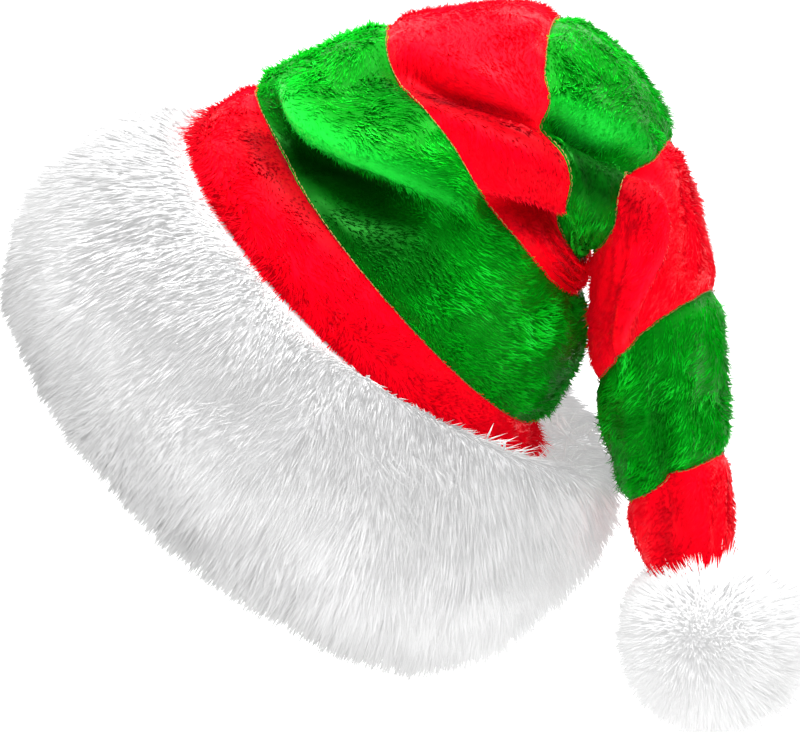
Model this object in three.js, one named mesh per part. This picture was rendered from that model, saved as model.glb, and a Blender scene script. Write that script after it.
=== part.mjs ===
// A plush elf hat in the form it has on a head: a deep white fur brim, a long cone of seven sewn
// stripes that leans back, folds over and hangs down behind, and a fur pompom on its tip.
// Millimetres, +Z up. The wearer faces -X, and Y runs from ear to ear.
// The origin is the centre of the head opening, level with the brim's lower edge.
import * as THREE from "three";

// The head opening and how far back its axis leans from upright, in degrees
const headOpening = 180;
const headLean = 45;

// The cloth: plush with its short pile pressed flat, and the gap between pieces
const clothWall = 2.6;
const seamGap = 0.4;

// The crown: the slant width of a stripe
const stripeWidth = 57;

// The brim: a padded ring, thicker and higher behind than in front, a ledge under the crown's lower
// edge, and the fur locks that rise from the padding, longer behind too
const brimHeight = 98;
const brimPadding = 24;
const brimPaddingBehind = 0.55;
const brimRiseBehind = 0.06;
const brimLedge = 2;
const brimLockLength = 21;
const brimLockBehind = 0.2;
const brimLocksRound = 28;

// The pompom: a wound ball, flat where it is sewn to the tip, and the fur locks that rise from it
const pompomBall = 46;
const pompomSeat = 24;
const pompomLockLength = 12;

// Facets round the crown, and how often the faces of the pompom's ball are split
const crownFacets = 40;
const ballSplits = 2;

// Locks: how high and wide their waist is, as shares of their length and root, how far they differ
// in length and direction, and how far the valleys between them run up and down, of the brim's height
const lockWaistHeight = 0.55;
const lockWaistWidth = 0.8;
const lockSpread = 0.3;
const brimZigzag = 0.07;

// How far below its seat the pompom's locks begin
const pompomSeatClearance = 4;

// Folds: a fold's depth rises and falls along it as a sine arc does that is cut off by this share at
// each end, and its lip lies this far above its valley, in half widths of the fold
const foldCutOff = 0.15;
const foldLipPlace = 1.3;

// How far to each side a place is compared to find the way out of the cloth, in stripes and degrees
const compareAlong = 0.02;
const compareRound = 1;

const crownDiameter = headOpening + 2 * clothWall;

// Finishes
const plushRed = new THREE.MeshStandardMaterial({ color: 0xe8001c, roughness: 0.75, metalness: 0 });
const plushGreen = new THREE.MeshStandardMaterial({ color: 0x019a1c, roughness: 0.7, metalness: 0 });
const whiteFur = new THREE.MeshStandardMaterial({ color: 0xf2f2f2, roughness: 0.95, metalness: 0 });

// Cross-sections of the crown from the brim to the tip, one at each seam and one within a stripe.
// at: stripes counted from the brim. heading: the way from the row before, in degrees above +X.
// stripes, openings: the length of that step, in stripe widths and in head openings.
// lean: where the section faces, in degrees above +X. skew: how far its -Y side runs ahead, in
// degrees. wide, deep: its size in the XZ plane and along Y, in crown diameters. pinch: how far its
// sides flatten towards two folded edges.
const crownSections = [
  { at: 0, heading: 0, stripes: 0, openings: 0, lean: 45, skew: 0, wide: 1, deep: 1, pinch: 0 },
  { at: 1, heading: 46, stripes: 0.387, openings: 0, lean: 40, skew: 4, wide: 0.93, deep: 0.96, pinch: 0 },
  { at: 1.6, heading: 43, stripes: 0.583, openings: 0, lean: 39, skew: 5, wide: 0.82, deep: 0.93, pinch: 0 },
  { at: 2, heading: 54, stripes: 0.321, openings: 0, lean: 36, skew: 6, wide: 0.69, deep: 0.9, pinch: 0 },
  { at: 3, heading: 14, stripes: 0, openings: 0.194, lean: 6, skew: 7, wide: 0.51, deep: 0.8, pinch: 0 },
  { at: 4, heading: -43, stripes: 0, openings: 0.18, lean: -38, skew: 13, wide: 0.28, deep: 0.62, pinch: 0.1 },
  { at: 5, heading: -79, stripes: 0.962, openings: 0, lean: -50, skew: 0, wide: 0.31, deep: 0.5, pinch: 0.2 },
  { at: 6, heading: -80, stripes: 0.96, openings: 0, lean: -62, skew: 0, wide: 0.215, deep: 0.33, pinch: 0.1 },
  { at: 7, heading: -80, stripes: 0.76, openings: 0, lean: -82, skew: 0, wide: 0.15, deep: 0.16, pinch: 0 },
];

// Folds of the crown, each along a straight line over the cloth: a valley with a lip above it, or a
// ridge where the depth is negative.
// at, turn: where it starts and ends, in stripes from the brim and degrees round the crown, with 0
// on top and 90 on the -Y side. depth, lip: in crown diameters. broad: half its width, the same.
// slide: how far the cloth is carried along towards the tip, in stripes.
const crownFolds = [
  { at: [1.1, 1.5], turn: [44, 96], depth: 0.085, lip: 0.04, broad: 0.09, slide: 0 },
  { at: [2.05, 2.9], turn: [48, 88], depth: 0.06, lip: 0.02, broad: 0.07, slide: -0.1 },
  { at: [2.4, 3.1], turn: [90, 112], depth: -0.03, lip: 0, broad: 0.12, slide: 0.28 },
  { at: [2.0, 3.0], turn: [112, 136], depth: 0.06, lip: 0, broad: 0.07, slide: 0 },
  { at: [3.1, 3.7], turn: [88, 74], depth: 0.13, lip: 0.03, broad: 0.08, slide: 0 },
  { at: [4.05, 4.95], turn: [66, 104], depth: -0.03, lip: 0, broad: 0.055, slide: 0 },
  { at: [5.3, 6.8], turn: [66, 78], depth: 0.025, lip: 0.01, broad: 0.055, slide: 0 },
  { at: [1.5, 2.6], turn: [268, 232], depth: 0.05, lip: 0.02, broad: 0.09, slide: 0 },
  { at: [2.6, 3.6], turn: [276, 258], depth: 0.07, lip: 0.03, broad: 0.08, slide: 0 },
];

const stripes = [
  { name: "stripe_1_red", material: plushRed, rows: 2 },
  { name: "stripe_2_green", material: plushGreen, rows: 5 },
  { name: "stripe_3_red", material: plushRed, rows: 5 },
  { name: "stripe_4_green", material: plushGreen, rows: 6 },
  { name: "stripe_5_red", material: plushRed, rows: 5 },
  { name: "stripe_6_green", material: plushGreen, rows: 3 },
  { name: "stripe_7_red", material: plushRed, rows: 4 },
];

// The brim's padding from its lower lip up to its ledge, each row a ring of valleys between locks.
// height: share of the brim's height. padding: share of its thickest padding.
// comb: how far the locks from this ring to the next lean up from straight out, in degrees.
// length: of those locks, as a share of the longest.
const brimRows = [
  { height: 0.16, padding: 0.1, comb: -75, length: 0.75 },
  { height: 0.15, padding: 0.55, comb: -42, length: 0.85 },
  { height: 0.28, padding: 0.86, comb: -22, length: 1 },
  { height: 0.46, padding: 1, comb: -8, length: 1 },
  { height: 0.64, padding: 0.96, comb: 4, length: 0.95 },
  { height: 0.82, padding: 0.82, comb: 24, length: 0.85 },
  { height: 0.95, padding: 0.5, comb: 52, length: 0.6 },
];

const radians = THREE.MathUtils.degToRad;

// A direction in the XZ plane, in degrees above +X.
function inPlane(degrees) {
  return new THREE.Vector3(Math.cos(radians(degrees)), 0, Math.sin(radians(degrees)));
}

const headAxis = inPlane(90 - headLean);
const headBack = inPlane(-headLean);

// Each section's centre, stepped from the row before.
const crownCentres = [];
for (const row of crownSections) {
  const before = crownCentres.at(-1) ?? headAxis.clone().multiplyScalar(brimHeight);
  const step = row.stripes * stripeWidth + row.openings * headOpening;
  crownCentres.push(before.clone().addScaledVector(inPlane(row.heading), step));
}

// A smooth value between the rows of a table: a cubic through all of them.
function between(positions, values, at) {
  const last = positions.length - 1;
  const row = THREE.MathUtils.clamp(positions.findLastIndex((p) => p <= at), 0, last - 1);
  const slope = (i) => {
    const [low, high] = [Math.max(i - 1, 0), Math.min(i + 1, last)];
    return (values[high] - values[low]) / (positions[high] - positions[low]);
  };
  const span = positions[row + 1] - positions[row];
  const t = (at - positions[row]) / span;
  const rise = values[row + 1] - values[row];
  const [a, b] = [slope(row) * span, slope(row + 1) * span];
  return values[row] + t * a + t * t * (3 * rise - 2 * a - b) + t * t * t * (a + b - 2 * rise);
}

const seamsAt = crownSections.map((row) => row.at);
const centreXs = crownCentres.map((centre) => centre.x);
const centreZs = crownCentres.map((centre) => centre.z);

function sectionAt(at) {
  const column = (name) => between(seamsAt, crownSections.map((row) => row[name]), at);
  const [lean, skew] = [column("lean"), radians(column("skew"))];
  return {
    centre: new THREE.Vector3(between(seamsAt, centreXs, at), 0, between(seamsAt, centreZs, at)),
    out: inPlane(lean + 90),
    near: inPlane(lean).multiplyScalar(Math.sin(skew)).setY(-Math.cos(skew)),
    halfWide: (column("wide") * crownDiameter) / 2,
    halfDeep: (column("deep") * crownDiameter) / 2,
    pinch: column("pinch"),
  };
}

// A point of the crown before it is folded. turn is in degrees.
function smoothPoint(at, turn) {
  const { centre, out, near, halfWide, halfDeep, pinch } = sectionAt(at);
  const [c, s] = [Math.cos(radians(turn)), Math.sin(radians(turn))];
  return centre
    .clone()
    .addScaledVector(out, halfWide * c * (1 - pinch * s * s))
    .addScaledVector(near, halfDeep * s);
}

// How far the folds push the cloth out at a place, in millimetres, and slide it along, in stripes.
function foldAt(at, turn) {
  const { halfWide, halfDeep } = sectionAt(at);
  const perDegree = radians((halfWide + halfDeep) / 2);
  let push = 0;
  let slide = 0;
  for (const fold of crownFolds) {
    const line = new THREE.Vector2(
      (fold.at[1] - fold.at[0]) * stripeWidth,
      (fold.turn[1] - fold.turn[0]) * perDegree,
    );
    const place = new THREE.Vector2(
      (at - fold.at[0]) * stripeWidth,
      (turn - fold.turn[0]) * perDegree,
    );
    const along = THREE.MathUtils.clamp(place.dot(line) / line.lengthSq(), 0, 1);
    const away = place.clone().addScaledVector(line, -along);
    const broad = fold.broad * crownDiameter;
    const side = Math.sign(line.cross(away)) * (away.length() / broad);
    const strength = Math.sin(Math.PI * THREE.MathUtils.lerp(foldCutOff, 1 - foldCutOff, along));
    const valley = Math.exp(-side * side) * fold.depth;
    const lip = Math.exp(-((side + foldLipPlace) ** 2)) * fold.lip;
    push += strength * (lip - valley) * crownDiameter;
    slide += strength * Math.exp(-side * side) * fold.slide;
  }
  return { push, slide };
}

// The way out of the cloth at a place.
function outOf(pointAt, at, turn) {
  const along = pointAt(at + compareAlong, turn).sub(pointAt(at - compareAlong, turn)).normalize();
  const round = pointAt(at, turn + compareRound).sub(pointAt(at, turn - compareRound)).normalize();
  return round.cross(along).normalize();
}

function crownPoint(at, turn) {
  const { push, slide } = foldAt(at, turn);
  const normal = outOf(smoothPoint, at + slide, turn);
  return smoothPoint(at + slide, turn).addScaledVector(normal, push);
}

// A closed skin over rings of points that follow one another through the wall's section. It joins
// the last ring to the first, or closes each end on a ring of one point.
function skinOverRings(rings) {
  const starts = rings.map((_, r) => rings.slice(0, r).flat().length);
  const index = [];
  rings.forEach((ring, r) => {
    const n = (r + 1) % rings.length;
    const count = Math.max(ring.length, rings[n].length);
    const corner = (which, i) => starts[which] + (i % count) % rings[which].length;
    for (let i = 0; i < count; i++) {
      if (ring.length > 1) index.push(corner(r, i), corner(r, i + 1), corner(n, i));
      if (rings[n].length > 1) index.push(corner(r, i + 1), corner(n, i + 1), corner(n, i));
    }
  });
  const geometry = new THREE.BufferGeometry().setFromPoints(rings.flat());
  geometry.setIndex(index);
  return geometry;
}

// One stripe: a cloth tube from its first seam to its next, with half a seam gap off each end. The
// last one is closed at the tip.
function stripeShell(first, rows) {
  const isLast = first + 1 === seamsAt.at(-1);
  const outer = [];
  const inner = [];
  for (let row = 0; row <= rows; row++) {
    const at = first + row / rows;
    const isTip = isLast && row === rows;
    const { out, near } = sectionAt(at);
    const ahead = out.clone().cross(near);
    const toNext = row === rows ? -1 : 1;
    const outerRing = [];
    const innerRing = [];
    for (let facet = 0; facet < crownFacets; facet++) {
      const turn = (360 * facet) / crownFacets;
      const skin = crownPoint(at, turn);
      const normal = outOf(crownPoint, at, turn);
      if (row === 0 || row === rows) {
        const inwards = crownPoint(at + toNext / rows, turn).sub(skin).normalize();
        normal.projectOnPlane(ahead).normalize();
        skin.addScaledVector(isTip ? ahead : inwards, isTip ? -seamGap / 2 : seamGap / 2);
      }
      outerRing.push(skin);
      const inset = isTip ? -clothWall : 0;
      innerRing.push(skin.clone().addScaledVector(normal, -clothWall).addScaledVector(ahead, inset));
    }
    outer.push(outerRing);
    inner.push(innerRing);
  }
  if (isLast) {
    outer.push([middleOf(outer.at(-1))]);
    inner.push([middleOf(inner.at(-1))]);
  }
  return skinOverRings([...outer, ...inner.reverse()]);
}

function middleOf(ring) {
  const sum = new THREE.Vector3();
  for (const point of ring) {
    sum.add(point);
  }
  return sum.divideScalar(ring.length);
}

// How far a lock differs from the others of its kind, the same every time: the seed tells a lock's
// heading, comb and length apart.
function differing(number, seed) {
  const mixer = new THREE.Vector2(12.9898, 78.233);
  const value = Math.sin(mixer.dot(new THREE.Vector2(number, seed))) * 43758.5453;
  return lockSpread * (value - Math.floor(value) - 0.5);
}

// The triangles of a lock of fur that rises from the corners of its root to a tip, plump halfway.
function lockTriangles(corners, tip) {
  const root = middleOf(corners);
  const waist = corners.map((corner) => {
    const rise = tip.clone().sub(root).multiplyScalar(lockWaistHeight);
    return corner.clone().sub(root).multiplyScalar(lockWaistWidth).add(root).add(rise);
  });
  return corners.flatMap((corner, i) => {
    const next = (i + 1) % corners.length;
    const lower = [corner, corners[next], waist[next]];
    return [...lower, corner, waist[next], waist[i], waist[i], waist[next], tip];
  });
}

// The triangles between two rings of as many points each.
function bandTriangles(ring, nextRing) {
  return ring.flatMap((point, i) => {
    const j = (i + 1) % ring.length;
    return [point, ring[j], nextRing[j], point, nextRing[j], nextRing[i]];
  });
}

// A point of the brim at an angle round the head, with 0 behind, out from the opening and up.
function brimPoint(angle, out, height) {
  return headBack
    .clone()
    .multiplyScalar(Math.cos(angle))
    .setY(Math.sin(angle))
    .multiplyScalar(headOpening / 2 + out)
    .addScaledVector(headAxis, height);
}

// The brim: rings of valleys round the padding, two points to a lock, with a lock on each brick of
// the pattern that they make, and a bare wall inside.
function furBrim() {
  const count = 2 * brimLocksRound;
  const top = brimHeight - seamGap / 2;
  const ledge = { height: 1, out: clothWall + brimLedge };
  const angleOf = (i) => (2 * Math.PI * i) / count;
  const rings = [...brimRows, ledge].map((row, r, all) => {
    const inside = r > 0 && r < all.length - 1;
    return Array.from({ length: count }, (_, i) => {
      const angle = angleOf(i);
      if (!inside) return brimPoint(angle, row.out ?? row.padding * brimPadding, row.height * top);
      const out = row.padding * brimPadding * (1 + brimPaddingBehind * Math.cos(angle));
      const rise = brimRiseBehind * Math.cos(angle) + brimZigzag * (((i + r) % 2) - 0.5);
      return brimPoint(angle, out, (row.height + rise) * top);
    });
  });
  const wall = [1, brimRows[0].height].map((height) => {
    return Array.from({ length: count }, (_, i) => brimPoint(angleOf(i), 0, height * top));
  });
  const points = [rings.at(-1), ...wall, rings[0]].flatMap((ring, r, all) => {
    return r < all.length - 1 ? bandTriangles(ring, all[r + 1]) : [];
  });
  brimRows.forEach((row, r) => {
    for (let i = r % 2; i < count; i += 2) {
      const number = r * count + i;
      const lower = [0, 1, 2].map((step) => rings[r][(i + step) % count]);
      const upper = [2, 1, 0].map((step) => rings[r + 1][(i + step) % count]);
      const corners = [...lower, ...upper];
      const angle = angleOf(i + 1) + differing(number, 1);
      const comb = radians(row.comb) + differing(number, 2);
      const longer = 1 + brimLockBehind * Math.cos(angle) + differing(number, 3);
      const length = row.length * brimLockLength * longer;
      const direction = headBack
        .clone()
        .multiplyScalar(Math.cos(angle))
        .setY(Math.sin(angle))
        .multiplyScalar(Math.cos(comb))
        .addScaledVector(headAxis, Math.sin(comb));
      points.push(...lockTriangles(corners, middleOf(corners).addScaledVector(direction, length)));
    }
  });
  return new THREE.BufferGeometry().setFromPoints(points);
}

// The pompom: each face of the ball rises to a lock, but for the side that is cut flat and sewn to
// the tip. It hangs on along the tail's last heading.
function furPompom() {
  const radius = pompomBall / 2;
  const seatHeight = Math.sqrt(radius ** 2 - (pompomSeat / 2) ** 2);
  const down = inPlane(crownSections.at(-1).lean);
  const centre = crownCentres.at(-1).clone().addScaledVector(down, seatHeight + seamGap / 2);
  const faces = new THREE.IcosahedronGeometry(radius, ballSplits).getAttribute("position");
  const points = [];
  for (let i = 0; i < faces.count; i += 3) {
    const corners = [0, 1, 2].map((step) => new THREE.Vector3().fromBufferAttribute(faces, i + step));
    const middle = middleOf(corners);
    const low = corners.some((corner) => corner.z > seatHeight - pompomSeatClearance);
    for (const corner of corners) {
      corner.z = Math.min(corner.z, seatHeight);
    }
    if (low) {
      points.push(...corners);
    } else {
      const length = pompomLockLength * (1 + differing(i, 1));
      const tip = middle.clone().addScaledVector(middle.clone().normalize(), length);
      points.push(...lockTriangles(corners, tip));
    }
  }
  const up = new THREE.Quaternion().setFromUnitVectors(new THREE.Vector3(0, 0, -1), down);
  const geometry = new THREE.BufferGeometry().setFromPoints(points);
  return geometry.applyQuaternion(up).translate(centre.x, centre.y, centre.z);
}

const hat = new THREE.Group();

function add(name, geometry, material) {
  const mesh = new THREE.Mesh(geometry, material);
  mesh.name = name;
  hat.add(mesh);
}

add("brim", furBrim(), whiteFur);
stripes.forEach((stripe, number) => {
  add(stripe.name, stripeShell(number, stripe.rows), stripe.material);
});
add("pompom", furPompom(), whiteFur);

export default hat;
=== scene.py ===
"""A plush elf hat, dressed round its packed frame: seven sewn stripes of short-pile plush, stitched
seams, a deep brim of long fur and a fur pompom, in metres and in the frame of the packed part."""

import math

import bmesh
import bpy
import numpy as np
from bpy.props import FloatProperty, FloatVectorProperty, IntProperty, PointerProperty
from mathutils import Matrix, Vector


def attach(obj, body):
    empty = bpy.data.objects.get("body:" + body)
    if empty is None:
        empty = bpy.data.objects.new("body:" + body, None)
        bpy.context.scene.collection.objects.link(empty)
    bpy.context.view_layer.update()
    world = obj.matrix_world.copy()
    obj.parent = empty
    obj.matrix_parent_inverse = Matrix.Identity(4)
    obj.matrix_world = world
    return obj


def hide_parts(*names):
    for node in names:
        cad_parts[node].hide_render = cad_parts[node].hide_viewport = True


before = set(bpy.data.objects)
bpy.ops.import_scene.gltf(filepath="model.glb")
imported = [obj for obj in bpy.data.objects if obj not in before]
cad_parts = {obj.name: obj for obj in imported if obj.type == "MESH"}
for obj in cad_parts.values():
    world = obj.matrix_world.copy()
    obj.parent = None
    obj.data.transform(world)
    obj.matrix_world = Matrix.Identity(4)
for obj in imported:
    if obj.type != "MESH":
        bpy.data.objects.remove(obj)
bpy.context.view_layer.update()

bl_info = {
    "name": "Plush Elf Hat",
    "version": (1, 0, 0),
    "blender": (4, 5, 0),
    "location": "3D View > Sidebar > Elf Hat",
    "description": "Makes the cloth, pile, fur and stitches of a striped elf hat, and its studio",
    "category": "Object",
}

# The crown's cross-sections, one at each seam and one within a stripe. at: stripes from the brim.
# heading: the way from the row before, in degrees above +X. stripes, openings: the length of that
# step, in stripe widths and head openings. lean: where the section faces, in degrees above +X.
# skew: how far its -Y side runs ahead. wide, deep: its size in the XZ plane and along Y, in crown
# diameters. pinch: how far its sides flatten towards two folded edges.
SECTION_COLUMNS = ("at", "heading", "stripes", "openings", "lean", "skew", "wide", "deep", "pinch")
SECTIONS = (
    (0.0, 0, 0.0, 0.0, 45, 0, 1.0, 1.0, 0.0),
    (1.0, 46, 0.387, 0.0, 40, 4, 0.93, 0.96, 0.0),
    (1.6, 43, 0.583, 0.0, 39, 5, 0.82, 0.93, 0.0),
    (2.0, 54, 0.321, 0.0, 36, 6, 0.69, 0.9, 0.0),
    (3.0, 14, 0.0, 0.194, 6, 7, 0.51, 0.8, 0.0),
    (4.0, -43, 0.0, 0.18, -38, 13, 0.28, 0.62, 0.1),
    (5.0, -79, 0.962, 0.0, -50, 0, 0.31, 0.5, 0.2),
    (6.0, -80, 0.96, 0.0, -62, 0, 0.215, 0.33, 0.1),
    (7.0, -80, 0.76, 0.0, -82, 0, 0.15, 0.16, 0.0),
)

# The crown's folds, each along a straight line over the cloth: where it starts and ends, in stripes
# and in degrees round the crown with 0 on top and 90 on the -Y side, its depth, the lip above it and
# half its width in crown diameters, how far it slides the cloth along, in stripes, and how far its
# lip hangs over the valley, in crown diameters. CREASES are small ones that only this file has.
FOLDS = (
    ((1.2, 1.6), (40, 98), 0.115, 0.08, 0.09, 0, 0.06),
    ((2.05, 2.9), (48, 88), 0.08, 0.035, 0.07, -0.1, 0.04),
    ((2.4, 3.1), (90, 112), -0.035, 0, 0.12, 0.28, 0),
    ((2.0, 3.0), (112, 134), 0.085, 0.03, 0.055, 0, 0.03),
    ((3.1, 3.85), (77, 54), 0.17, 0.07, 0.08, 0, 0.055),
    ((4.05, 4.95), (66, 104), -0.045, 0.045, 0.04, 0, 0),
    ((5.3, 6.8), (66, 78), 0.03, 0.012, 0.055, 0, 0),
    ((1.5, 2.6), (268, 232), 0.05, 0.02, 0.09, 0, 0.04),
    ((2.6, 3.6), (276, 258), 0.07, 0.03, 0.08, 0, 0.05),
)
CREASES = (
    ((1.12, 1.36), (34, 64), 0.06, 0.045, 0.08, 0, 0.035),
    ((2.1, 2.6), (40, 66), 0.02, 0.008, 0.035, 0, 0.01),
    ((2.2, 2.7), (70, 96), 0.018, 0.008, 0.03, 0, 0.01),
    ((1.55, 1.9), (70, 104), 0.014, 0.006, 0.04, 0, 0),
    ((0.3, 0.7), (96, 130), 0.008, 0.004, 0.05, 0, 0),
    ((4.2, 4.8), (92, 120), 0.012, 0.006, 0.03, 0, 0),
    ((6.1, 6.7), (96, 112), 0.012, 0.005, 0.025, 0, 0),
    ((2.2, 2.8), (300, 320), 0.02, 0.008, 0.04, 0, 0),
    ((3.2, 3.8), (290, 250), 0.02, 0.01, 0.035, 0, 0),
    ((4.25, 4.9), (180, 180), -0.012, 0, 0.2, 0, 0),
    ((0.4, 4.6), (0, 0), -0.014, 0, 0.3, 0, 0),
    ((0.4, 4.6), (360, 360), -0.014, 0, 0.3, 0, 0),
    ((-0.3, 1.9), (0, 0), -0.014, 0, 0.3, 0, 0),
    ((-0.3, 1.9), (360, 360), -0.014, 0, 0.3, 0, 0),
    ((5.6, 6.9), (180, 180), -0.022, 0, 0.2, 0, 0),
    ((5.6, 6.3), (0, 0), -0.008, 0, 0.1, 0, 0),
    ((5.6, 6.3), (360, 360), -0.008, 0, 0.1, 0, 0),
    ((3.9, 4.1), (50, 110), 0, 0, 0.2, -0.25, 0),
)
FOLD_CUT_OFF = 0.15
FOLD_LIP_PLACE = 0.75
FOLD_LIP_OVER = 0.45
LIP_HANGS_AT = 0.7
LIP_HANGS_OVER = 0.45

# The stripes from the brim to the tip: the packed node, how the cloth is held, how wide it was cut
# in stripe widths, the waves that its lower seam puckers in, and its grid along and round.
STRIPES = (
    ("stripe_1_red", "stretched", 0.42, 47, 16, 144),
    ("stripe_2_green", "stretched", 1, 43, 34, 200),
    ("stripe_3_red", "folded", 1, 37, 30, 180),
    ("stripe_4_green", "folded", 1, 31, 30, 168),
    ("stripe_5_red", "hung", 1, 23, 20, 112),
    ("stripe_6_green", "hung", 1, 17, 20, 96),
    ("stripe_7_red", "gathered", 0.85, 13, 20, 72),
)

# Where the cloth is bunched under the fold: from and to in stripes, from and to round, ripples in
# that stretch and their height in crown diameters.
GATHERS = (
    ((1.9, 3.0), (118, 242), 4, 0.013),
    ((3.0, 4.1), (112, 248), 4, 0.014),
)

# The brim's padding from its lower lip up to its ledge. height: share of the brim's height.
# padding: share of its thickest padding. comb: how far the fur leans up from straight out, in
# degrees. length: share of the longest fur.
BRIM_COLUMNS = ("height", "padding", "comb", "length")
BRIM_ROWS = (
    (0.135, 0.1, -88, 0.68),
    (0.12, 0.55, -74, 0.78),
    (0.25, 0.86, -60, 0.92),
    (0.45, 1.0, -50, 1.0),
    (0.64, 0.96, -40, 1.0),
    (0.82, 0.82, -26, 0.95),
    (0.96, 0.5, -16, 0.75),
    (1.0, 0.2, 0, 0.35),
)

# Where a fold's pocket gets painted shade and its lip a painted highlight, in half widths of the fold
# from its line: place and reach of each, how far its depth moves the pocket, and the depth, in
# diameters, that paints full shade
POCKET_AT, POCKET_BY_DEPTH, POCKET_REACH = 0.3, 6, 0.9
RIM_AT, RIM_REACH = -0.6, 0.25
FULL_SHADE_DEPTH = 0.09

# How far to each side a place is compared to find the way out of the cloth, in stripes and degrees
COMPARE_ALONG, COMPARE_ROUND = 0.02, 1

# The bands that the brim's fur is grown in: name, and the levels at which it starts and ends
BRIM_BANDS = (("brim_fur_lower", 0.0, 2.4), ("brim_fur_middle", 2.4, 4.2), ("brim_fur_upper", 4.2, 7.0))


def length_of(name, description, default):
    """A length that a user may change, in metres."""
    return FloatProperty(
        name=name, description=description, default=default, min=0, precision=4, unit="LENGTH", subtype="DISTANCE"
    )


def share_of(name, description, default):
    """A plain number that a user may change."""
    return FloatProperty(name=name, description=description, default=default, precision=3)


def colour_of(name, description, default):
    """A colour that a user may change."""
    return FloatVectorProperty(
        name=name, description=description, default=default, size=3, min=0, max=1, subtype="COLOR"
    )


class ElfHatSizes(bpy.types.PropertyGroup):
    """Sizes that follow the packed part"""

    head_opening: length_of("Head Opening", "Inside width of the brim", 0.18)
    stripe_width: length_of("Stripe Width", "Slant width of one stripe", 0.057)
    cloth_wall: length_of("Cloth Wall", "Plush with its pile pressed flat", 0.0026)
    pile_sink: length_of("Pile Sink", "How far the pile's roots lie under the pressed pile", 0.0009)
    seam_gap: length_of("Seam Gap", "Gap between two stripes", 0.0004)
    seam_dip: length_of("Seam Dip", "How far a seam pulls the cloth in", 0.0019)
    seam_reach: length_of("Seam Reach", "How far from a seam it pulls", 0.0034)
    brim_height: length_of("Brim Height", "Height of the brim along the head", 0.098)
    brim_padding: length_of("Brim Padding", "Thickest padding of the brim, in front", 0.024)
    brim_cover: length_of("Brim Cover", "Fur cloth over the padding", 0.006)
    pompom_ball: length_of("Pompom Ball", "Width of the pompom's ball", 0.046)
    pompom_seat: length_of("Pompom Seat", "Width of the flat side sewn to the tip", 0.024)


def strand_group(title, about, **defaults):
    """A property group for one kind of pile or fur, with its own defaults."""
    fields = {
        "density": share_of("Density", "Strands for each square metre", defaults["density"]),
        "length": length_of("Length", "Longest strand", defaults["length"]),
        "width": length_of("Width", "Greatest width of a strand", defaults["width"]),
        "flatness": share_of("Flatness", "Thickness of a strand as a share of its width", defaults["flatness"]),
        "spread": share_of("Length Spread", "How much shorter the shortest strand is", defaults["spread"]),
        "lift": share_of("Lift", "How far the strands stand up from the cloth", defaults["lift"]),
        "comb": share_of("Comb", "How far they follow the way that they are combed", defaults["comb"]),
        "scatter": share_of("Scatter", "How far each one strays", defaults["scatter"]),
        "brush": share_of("Brush", "How far whole patches are brushed aside", defaults["brush"]),
        "brush_scale": share_of("Brush Scale", "Brushed patches for each metre", defaults["brush_scale"]),
        "clump_scale": share_of("Clump Scale", "Clumps for each metre", defaults["clump_scale"]),
        "pull": share_of("Clump Pull", "How far strands lean to their clump", defaults["pull"]),
        "seed": IntProperty(name="Seed", description="Picks another growth", default=defaults["seed"]),
    }
    return type(title, (bpy.types.PropertyGroup,), {"__doc__": about, "__annotations__": fields})


ElfHatPlush = strand_group(
    "ElfHatPlush", "Short pile of the stripes",
    density=700000, length=0.0058, width=0.0009, flatness=0.4, spread=0.5, lift=0.24, comb=0.8,
    scatter=0.22, brush=0.55, brush_scale=50, clump_scale=210, pull=0.3, seed=11,
)
ElfHatBrimFur = strand_group(
    "ElfHatBrimFur", "Long fur of the brim",
    density=800000, length=0.024, width=0.0012, flatness=0.35, spread=0.35, lift=0.12, comb=0.9,
    scatter=0.3, brush=0.45, brush_scale=30, clump_scale=60, pull=0.25, seed=23,
)
ElfHatPompomFur = strand_group(
    "ElfHatPompomFur", "Fur of the pompom",
    density=2900000, length=0.0195, width=0.0014, flatness=0.6, spread=0.3, lift=0.8, comb=0.25,
    scatter=0.5, brush=0.7, brush_scale=50, clump_scale=90, pull=0.2, seed=37,
)


class ElfHatColours(bpy.types.PropertyGroup):
    """Colours of the plush, the fur, the thread and the studio"""

    # The deep colours are the plush's darker tone in random patches and strands, and painted shade at the pile's roots
    # and in fold pockets; the light colours are painted highlights on strokes and fold lips
    red: colour_of("Red", "Red plush", (1.0, 0.0, 0.012))
    red_deep: colour_of("Deep Red", "Red plush at its roots and in brushed patches", (0.94, 0.0, 0.008))
    red_light: colour_of("Light Red", "Red plush where it catches the light", (1.0, 0.01, 0.03))
    green: colour_of("Green", "Green plush", (0.0, 0.8, 0.012))
    green_deep: colour_of("Deep Green", "Green plush at its roots and in brushed patches", (0.0, 0.15, 0.003))
    green_light: colour_of("Light Green", "Green plush where it catches the light", (0.02, 1.0, 0.07))
    # The fur's deep colour, at its roots, is lighter than its tips: painted light among the strands; both colours also
    # feed the fur's painted glow
    white: colour_of("White", "Fur at its tips", (0.34, 0.34, 0.34))
    white_deep: colour_of("Deep White", "Fur at its roots", (0.44, 0.44, 0.444))
    thread: colour_of("Thread", "Thread of the seams", (0.3, 0.2, 0.03))
    studio: colour_of("Studio", "Floor and backdrop", (0.7, 0.7, 0.7))


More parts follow.
